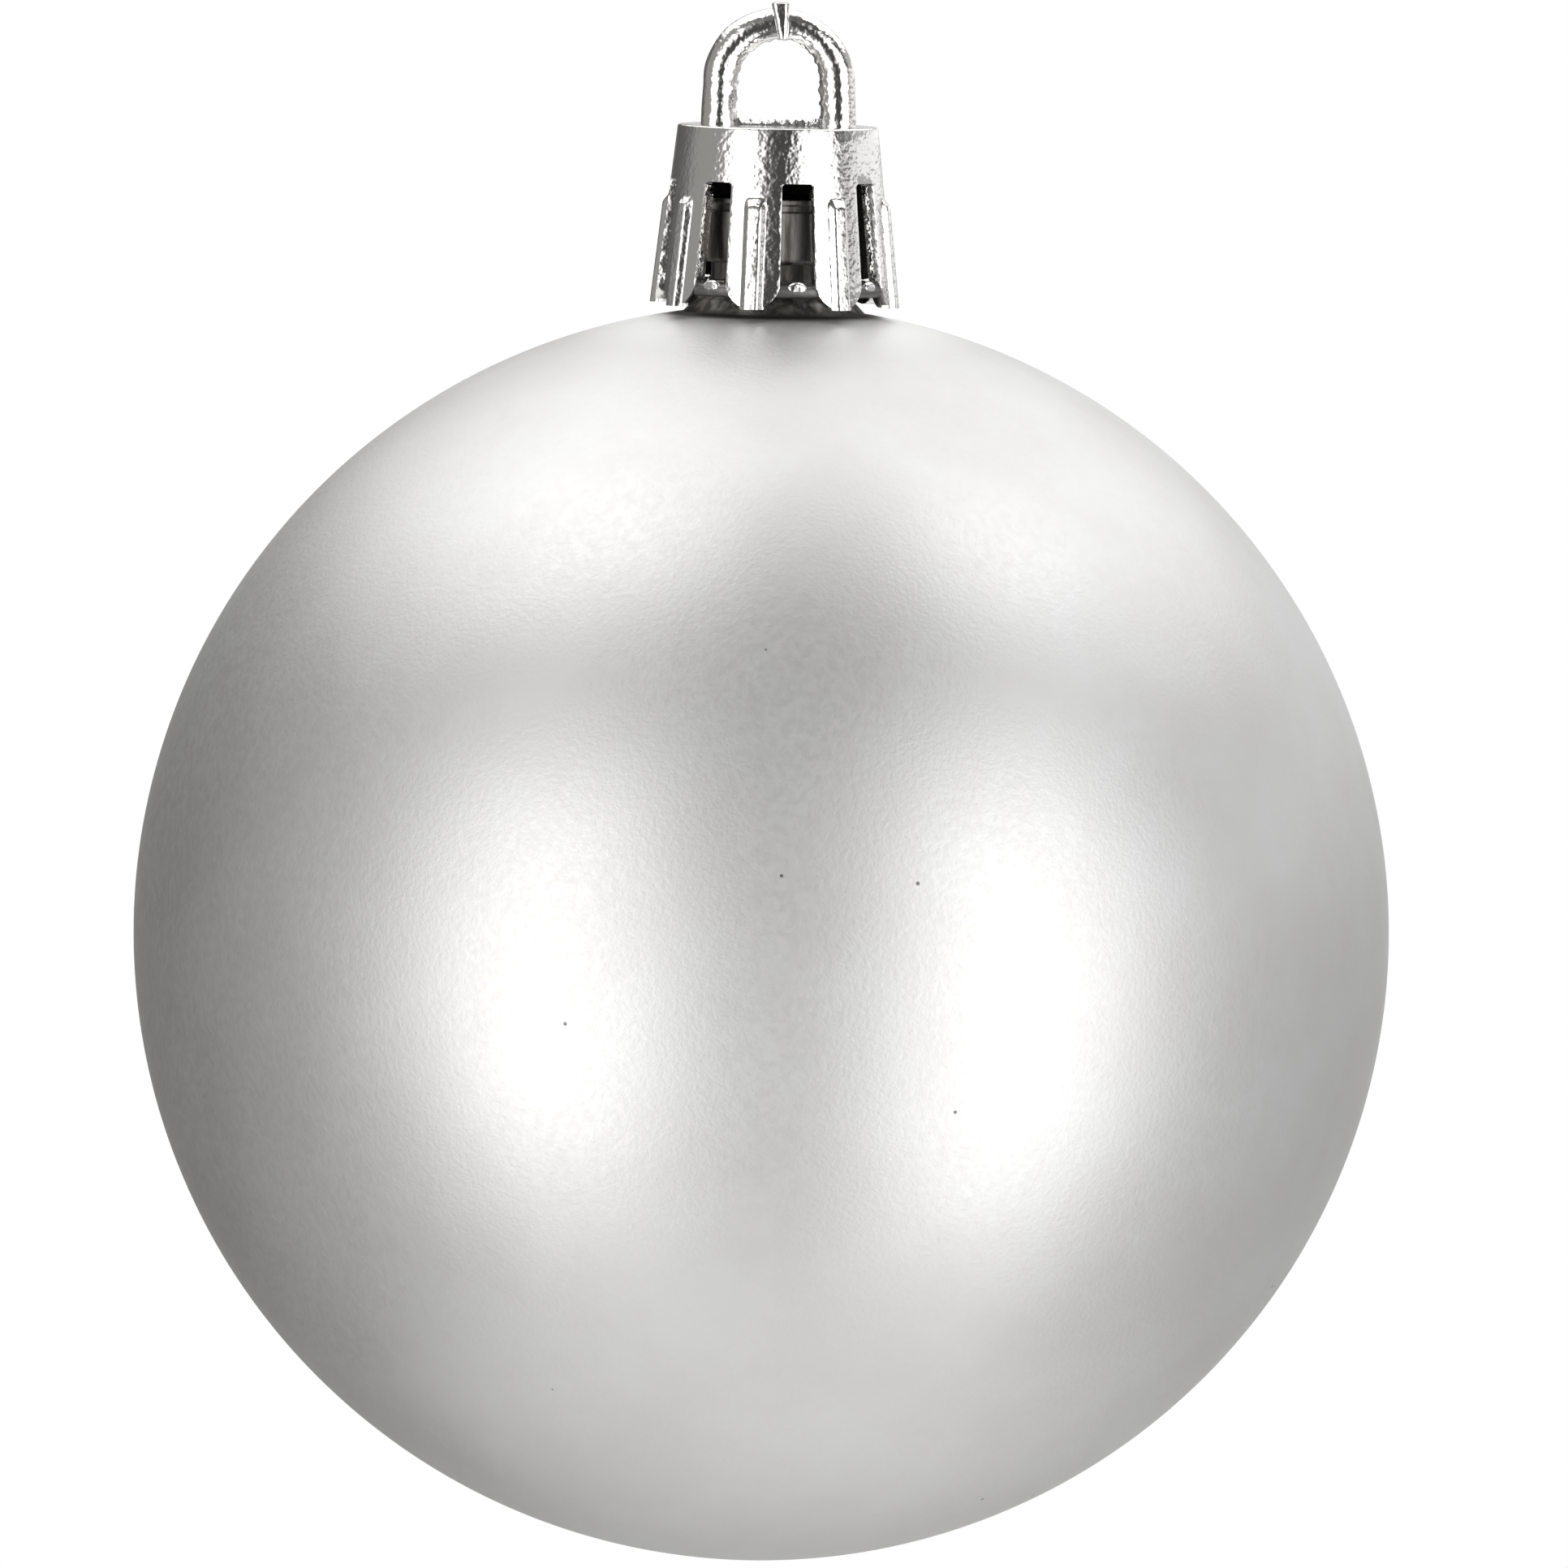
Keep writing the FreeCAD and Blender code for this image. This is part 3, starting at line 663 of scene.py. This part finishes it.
class ORNAMENT_OT_snap_ring(bpy.types.Operator):
    """Thin ring between the petals with a snap prong at the foot of each window"""
    bl_idname = "ornament.snap_ring"
    bl_label = "Snap ring"

    def execute(self, context):
        s = sizes(context.scene.ornament_cap)
        ring_z = PETAL_TIP_Z + s.ring_height
        prong_z = PETAL_TIP_Z + s.prong_height
        outer = skirt_radius(s, ring_z, -PRONG_ROOT_INSET)
        prong = outer - s.prong_reach
        bm = bmesh.new()
        bmesh.ops.create_cone(bm, cap_ends=True, segments=24, radius1=0.5, radius2=0.5, depth=1.0)
        bmesh.ops.rotate(bm, cent=(0, 0, 0), matrix=Matrix.Rotation(math.pi / 2, 3, "X"), verts=bm.verts[:])
        bmesh.ops.scale(bm, vec=(s.prong_width, prong, s.prong_thickness), verts=bm.verts[:])
        ends = [e for e in sharp_edges(bm) if abs(e.verts[0].co.y - e.verts[1].co.y) < TOLERANCE]
        soften(bm, ends, s.prong_thickness * PRONG_END_ROUND, 4)
        bmesh.ops.translate(bm, vec=(0, -s.prong_reach - prong / 2, prong_z), verts=bm.verts[:])
        repeat_around(bm, s.turn)
        ring = bmesh.new()
        middle = skirt_radius(s, ring_z, -s.wall / 2) - RING_INSET
        around = arc(s.ring_section / 2, ring_z, 0, math.tau, 20)
        spun(ring, [point + Vector((middle, 0, 0)) for point in around], steps=128)
        ring_mesh = bpy.data.meshes.new("ring")
        ring.to_mesh(ring_mesh)
        ring.free()
        prong_faces = len(bm.faces)
        bm.from_mesh(ring_mesh)
        bpy.data.meshes.remove(ring_mesh)
        inside = bm.faces.layers.float.new(INSIDE)
        for i, face in enumerate(bm.faces):
            # the ring takes most of the inside's dull plate and painted shade
            face[inside] = 0.0 if i < prong_faces else 0.8
        finish_piece(bm, "cap_snap_ring", "cap", "cap", bright_plating())
        return {"FINISHED"}


class ORNAMENT_OT_hanging_loop(bpy.types.Operator):
    """Hanging loop with its gate stub"""
    bl_idname = "ornament.hanging_loop"
    bl_label = "Hanging loop"

    def execute(self, context):
        s = sizes(context.scene.ornament_cap)
        inner = s.eye_width / 2
        outer = inner + s.leg_width
        middle = (inner + outer) / 2
        foot_z = -s.eye_height - s.top_thickness / 2
        spring_z = -(inner + outer - s.crown) / 2
        bm = bmesh.new()
        bmesh.ops.create_circle(bm, cap_ends=False, segments=40, radius=0.5)
        bmesh.ops.scale(bm, vec=(s.leg_width, s.loop_depth, 1), verts=bm.verts[:])
        bmesh.ops.translate(bm, vec=(middle, 0, foot_z), verts=bm.verts[:])
        section = bm.edges[:]
        legs = 24
        rise = (spring_z - foot_z) / legs
        for _ in range(legs):
            section = extruded(bm, section, rise)
        crown = bmesh.ops.spin(bm, geom=section, cent=(0, 0, spring_z), axis=(0, -1, 0), angle=math.pi,
                               steps=110, use_merge=False, use_duplicate=False)["geom_last"]
        section = [g for g in crown if isinstance(g, bmesh.types.BMEdge)]
        for _ in range(legs):
            section = extruded(bm, section, -rise)
        bmesh.ops.remove_doubles(bm, verts=bm.verts[:], dist=TOLERANCE)
        bmesh.ops.holes_fill(bm, edges=[e for e in bm.edges if e.is_boundary])
        for vert in bm.verts:
            above = vert.co.z - spring_z
            if above > 0:
                reach = math.hypot(vert.co.x, above)
                share = (reach - inner) / (outer - inner)
                low, high = -spring_z / inner, (s.crown - spring_z) / outer
                vert.co.z = spring_z + above * (low + (high - low) * share)
            else:
                vert.co.x += math.copysign(s.leg_splay * above / (foot_z - spring_z), vert.co.x)
        # uneven plating: slow swells all over, and lumps that only add along the inner side
        for vert in bm.verts:
            centre = Vector((0, 0, min(vert.co.z, spring_z)))
            out = (vert.co - centre).normalized()
            swell = mathutils_noise.noise(vert.co / s.swell_length) * s.swell
            in_side = step((middle + LUMP_REACH - (vert.co - centre).length) / s.leg_width * 2)
            lump = max(0.0, mathutils_noise.noise(vert.co / s.lump_length + LUMP_PLACE)) * s.lump
            vert.co += out * (swell - lump * in_side)
        stub = bmesh.ops.create_cube(bm, size=1.0)["verts"]
        depth = s.loop_depth + s.gate_proud
        bmesh.ops.scale(bm, vec=(s.gate_width, depth, s.gate_length), verts=stub)
        for vert in stub:
            if vert.co.z < 0:
                vert.co.x = vert.co.x * s.gate_taper + s.gate_width * (1 - s.gate_taper) / 2
        bmesh.ops.translate(bm, vec=(0, -s.gate_proud / 2, GATE_TOP_Z - s.gate_length / 2), verts=stub)
        upright = list({e for v in stub for e in v.link_edges
                        if abs(e.verts[0].co.z - e.verts[1].co.z) > s.gate_length / 2})
        soften(bm, upright, s.gate_round, 5)
        ends = [e for e in sharp_edges(bm) if all(abs(v.co.z - GATE_TOP_Z) < TOLERANCE for v in e.verts)]
        soften(bm, ends, s.gate_edge)
        finish_piece(bm, "cap_hanging_loop", "cap", "cap", bright_plating())
        return {"FINISHED"}


class ORNAMENT_OT_flash_sill(bpy.types.Operator):
    """Low rough ridge of flash across the flat top, between the loop's legs"""
    bl_idname = "ornament.flash_sill"
    bl_label = "Flash sill"

    def execute(self, context):
        s = sizes(context.scene.ornament_cap)
        width = s.eye_width + s.leg_width / 2
        low_z = -s.eye_height - s.top_thickness / 4
        bm = bmesh.new()
        bmesh.ops.create_grid(bm, x_segments=90, y_segments=16, size=0.5)
        for vert in bm.verts:
            across, deep = vert.co.x, vert.co.y
            place = Vector((across * width, deep * s.sill_depth, 0))
            crest = SILL_LOW + (1 - SILL_LOW) * abs(mathutils_noise.noise(place / s.lump_length)) * 2
            edge = step((0.5 - abs(deep)) * 4) * step((0.5 - abs(across)) * 12)
            rise = (s.top_thickness / 4 + s.sill_height * crest) * edge
            vert.co = place + Vector((0, 0, low_z + rise))
        flat = bmesh.ops.extrude_face_region(bm, geom=bm.faces[:])["geom"]
        for vert in (g for g in flat if isinstance(g, bmesh.types.BMVert)):
            vert.co.z = low_z - s.top_thickness / 4
        finish_piece(bm, "cap_flash_sill", "cap", "cap", bright_plating())
        return {"FINISHED"}


# ---- stage ----

def shade(tree, way, turn, width, core, dark):
    """Brightness of the room, from 1 down to dark within an angle of a level direction.

    turn is that direction, from the front towards +X, and the shade is even within the angle core.
    """
    towards = (math.sin(turn), -math.cos(turn), 0)
    facing = add_node(tree, "ShaderNodeVectorMath", {"operation": "DOT_PRODUCT"}, at_0=way, at_1=towards)
    return ramp(tree, facing.outputs["Value"], math.cos(width), math.cos(core), 1.0, dark)


def softbox(name, azimuth, elevation, across, upright, radiance):
    """Soft light aimed at the ball; azimuth 0 is the front (-Y), positive towards +X.

    across and upright are its half width and half height, as a share of its distance.
    """
    a, e = math.radians(azimuth), math.radians(elevation)
    out = Vector((math.sin(a) * math.cos(e), -math.cos(a) * math.cos(e), math.sin(e)))
    width, height = 2 * across * LIGHT_DISTANCE, 2 * upright * LIGHT_DISTANCE
    light = area_light(name, width, height, radiance, SOFTBOX_FADES)
    light.location = (Vector((0, 0, BALL_CENTRE_Z)) + out * LIGHT_DISTANCE) * MM
    light.rotation_euler = out.to_track_quat("Z", "Y").to_euler()


def overhead(name, height, left, right, front, back, radiance):
    """Level light over the ball; its edges are places in X and Y, as a share of its height."""
    light = area_light(name, (right - left) * height, (back - front) * height, radiance, OVERHEAD_FADES)
    light.location = Vector((left + right, front + back, 2)) * height / 2 * MM
    light.location.z += BALL_CENTRE_Z * MM


def area_light(name, width, height, radiance, fades):
    """Rectangular light of a given radiance in its middle, fading out towards its edges.

    fades gives how far in from the edges the light fades, as shares of its width and height.
    """
    data = bpy.data.lights.new(name, "AREA")
    data.shape = "RECTANGLE"
    data.size, data.size_y = width * MM, height * MM
    data.energy = math.pi * radiance * data.size * data.size_y
    data.use_nodes = True
    tree = data.node_tree
    tree.nodes.clear()
    place = add_node(tree, "ShaderNodeNewGeometry").outputs["Parametric"]
    axes = add_node(tree, "ShaderNodeSeparateXYZ", Vector=place)
    shares = []
    for axis, fade in zip("XY", fades):
        inwards = maths(tree, "PINGPONG", axes.outputs[axis], 0.5)
        shares.append(ramp(tree, inwards, 0.0, fade))
    glow = add_node(tree, "ShaderNodeEmission", Strength=maths(tree, "MULTIPLY", *shares))
    add_node(tree, "ShaderNodeOutputLight", Surface=glow.outputs[0])
    light = bpy.data.objects.new(name, data)
    light.visible_camera = False
    bpy.context.scene.collection.objects.link(light)
    return light


class ORNAMENT_OT_stage(bpy.types.Operator):
    """Camera, pale floor and soft studio light"""
    bl_idname = "ornament.stage"
    bl_label = "Stage"

    def execute(self, context):
        settings = context.scene.ornament_stage
        s = sizes(settings)
        scene = context.scene
        scene.view_settings.view_transform = "Standard"
        camera_data = bpy.data.cameras.new("camera")
        camera_data.sensor_width = 36.0
        camera_data.lens = camera_data.sensor_width * s.distance / s.frame_width
        camera_data.clip_end = 100
        camera = bpy.data.objects.new("camera", camera_data)
        back = Vector((0, -math.cos(s.elevation), math.sin(s.elevation)))
        up = Vector((0, math.sin(s.elevation), math.cos(s.elevation)))
        turn = Matrix.Rotation(s.roll, 3, back)
        up = turn @ up
        right = up.cross(back)
        aim = Vector((0, 0, BALL_CENTRE_Z)) + right * s.aim_right + up * s.aim_up
        camera.location = (aim + back * s.distance) * MM
        camera.rotation_euler = Matrix((right, up, back)).transposed().to_euler()
        scene.collection.objects.link(camera)
        scene.camera = camera

        world = bpy.data.worlds.new("studio")
        world.use_nodes = True
        scene.world = world
        tree = world.node_tree
        tree.nodes.clear()
        # the room goes from pale at left to dark at right, with a dark slot behind the camera, between
        # the two front boxes, and a dark corner behind the ball
        place = add_node(tree, "ShaderNodeTexCoord").outputs["Generated"]
        upright = add_node(tree, "ShaderNodeVectorMath", {"operation": "MULTIPLY"}, at_0=place,
                           at_1=(1, 1, SLOT_SQUASH)).outputs[0]
        level = add_node(tree, "ShaderNodeVectorMath", {"operation": "NORMALIZE"}, at_0=upright).outputs[0]
        slot = shade(tree, level, s.slot_turn, s.slot_width, s.slot_width * SLOT_CORE, s.slot_light)
        corner = shade(tree, place, s.corner_turn, s.corner_width, 0.0, s.corner_light)
        to_right = ramp(tree, add_node(tree, "ShaderNodeSeparateXYZ", Vector=place).outputs["X"], -1.0, 1.0)
        walls = blend(tree, to_right, settings.room_left, settings.room_right)
        lit = maths(tree, "MULTIPLY", slot, corner)
        room = add_node(tree, "ShaderNodeBackground", Color=walls, Strength=lit)
        add_node(tree, "ShaderNodeOutputWorld", Surface=seen_white(tree, room))

        softbox("left_box", azimuth=-38, elevation=-6, across=0.554, upright=1.11, radiance=2.49)
        softbox("right_box", azimuth=46, elevation=-6, across=0.674, upright=1.29, radiance=2.56)
        softbox("right_wall", azimuth=135, elevation=-12, across=2.2, upright=1.83, radiance=0.50)
        softbox("back_wall", azimuth=126, elevation=10, across=2.36, upright=0.13, radiance=0.61)
        overhead("overhead_sheet", 600, left=-1.49, right=1.93, front=-0.28, back=2.61, radiance=1.34)
        overhead("overhead_left", 500, left=-0.79, right=-0.10, front=-0.33, back=0.04, radiance=3.17)
        overhead("overhead_right", 500, left=0.34, right=0.87, front=-0.26, back=0.14, radiance=3.31)

        bm = bmesh.new()
        bmesh.ops.create_grid(bm, x_segments=1, y_segments=1, size=s.floor_size / 2 * MM)
        bmesh.ops.translate(bm, vec=(0, 0, (BALL_LOW.z - s.floor_drop) * MM), verts=bm.verts[:])
        mesh = bpy.data.meshes.new("floor")
        bm.to_mesh(mesh)
        bm.free()
        mesh.materials.append(pale_paper())
        floor = bpy.data.objects.new("floor", mesh)
        scene.collection.objects.link(floor)
        return {"FINISHED"}


class ORNAMENT_PT_panel(bpy.types.Panel):
    """Lists the ornament's pieces"""
    bl_idname = "ORNAMENT_PT_panel"
    bl_label = "Ornament"
    bl_space_type = "VIEW_3D"
    bl_region_type = "UI"
    bl_category = "Ornament"

    def draw(self, context):
        for operator in OPERATORS:
            self.layout.operator(operator.bl_idname)


SETTINGS = {"ornament_ball": BallSettings, "ornament_cap": CapSettings, "ornament_stage": StageSettings}
OPERATORS = (ORNAMENT_OT_stage, ORNAMENT_OT_ball, ORNAMENT_OT_cap_skirt, ORNAMENT_OT_cap_ribs,
             ORNAMENT_OT_snap_ring, ORNAMENT_OT_hanging_loop, ORNAMENT_OT_flash_sill)
CLASSES = (*SETTINGS.values(), *OPERATORS, ORNAMENT_PT_panel)


def register():
    for cls in CLASSES:
        bpy.utils.register_class(cls)
    for name, group in SETTINGS.items():
        setattr(bpy.types.Scene, name, bpy.props.PointerProperty(type=group))


def unregister():
    for name in SETTINGS:
        delattr(bpy.types.Scene, name)
    for cls in reversed(CLASSES):
        bpy.utils.unregister_class(cls)


def main():
    register()
    for operator in OPERATORS:
        family, name = operator.bl_idname.split(".")
        getattr(getattr(bpy.ops, family), name)()


if __name__ == "__main__":
    main()
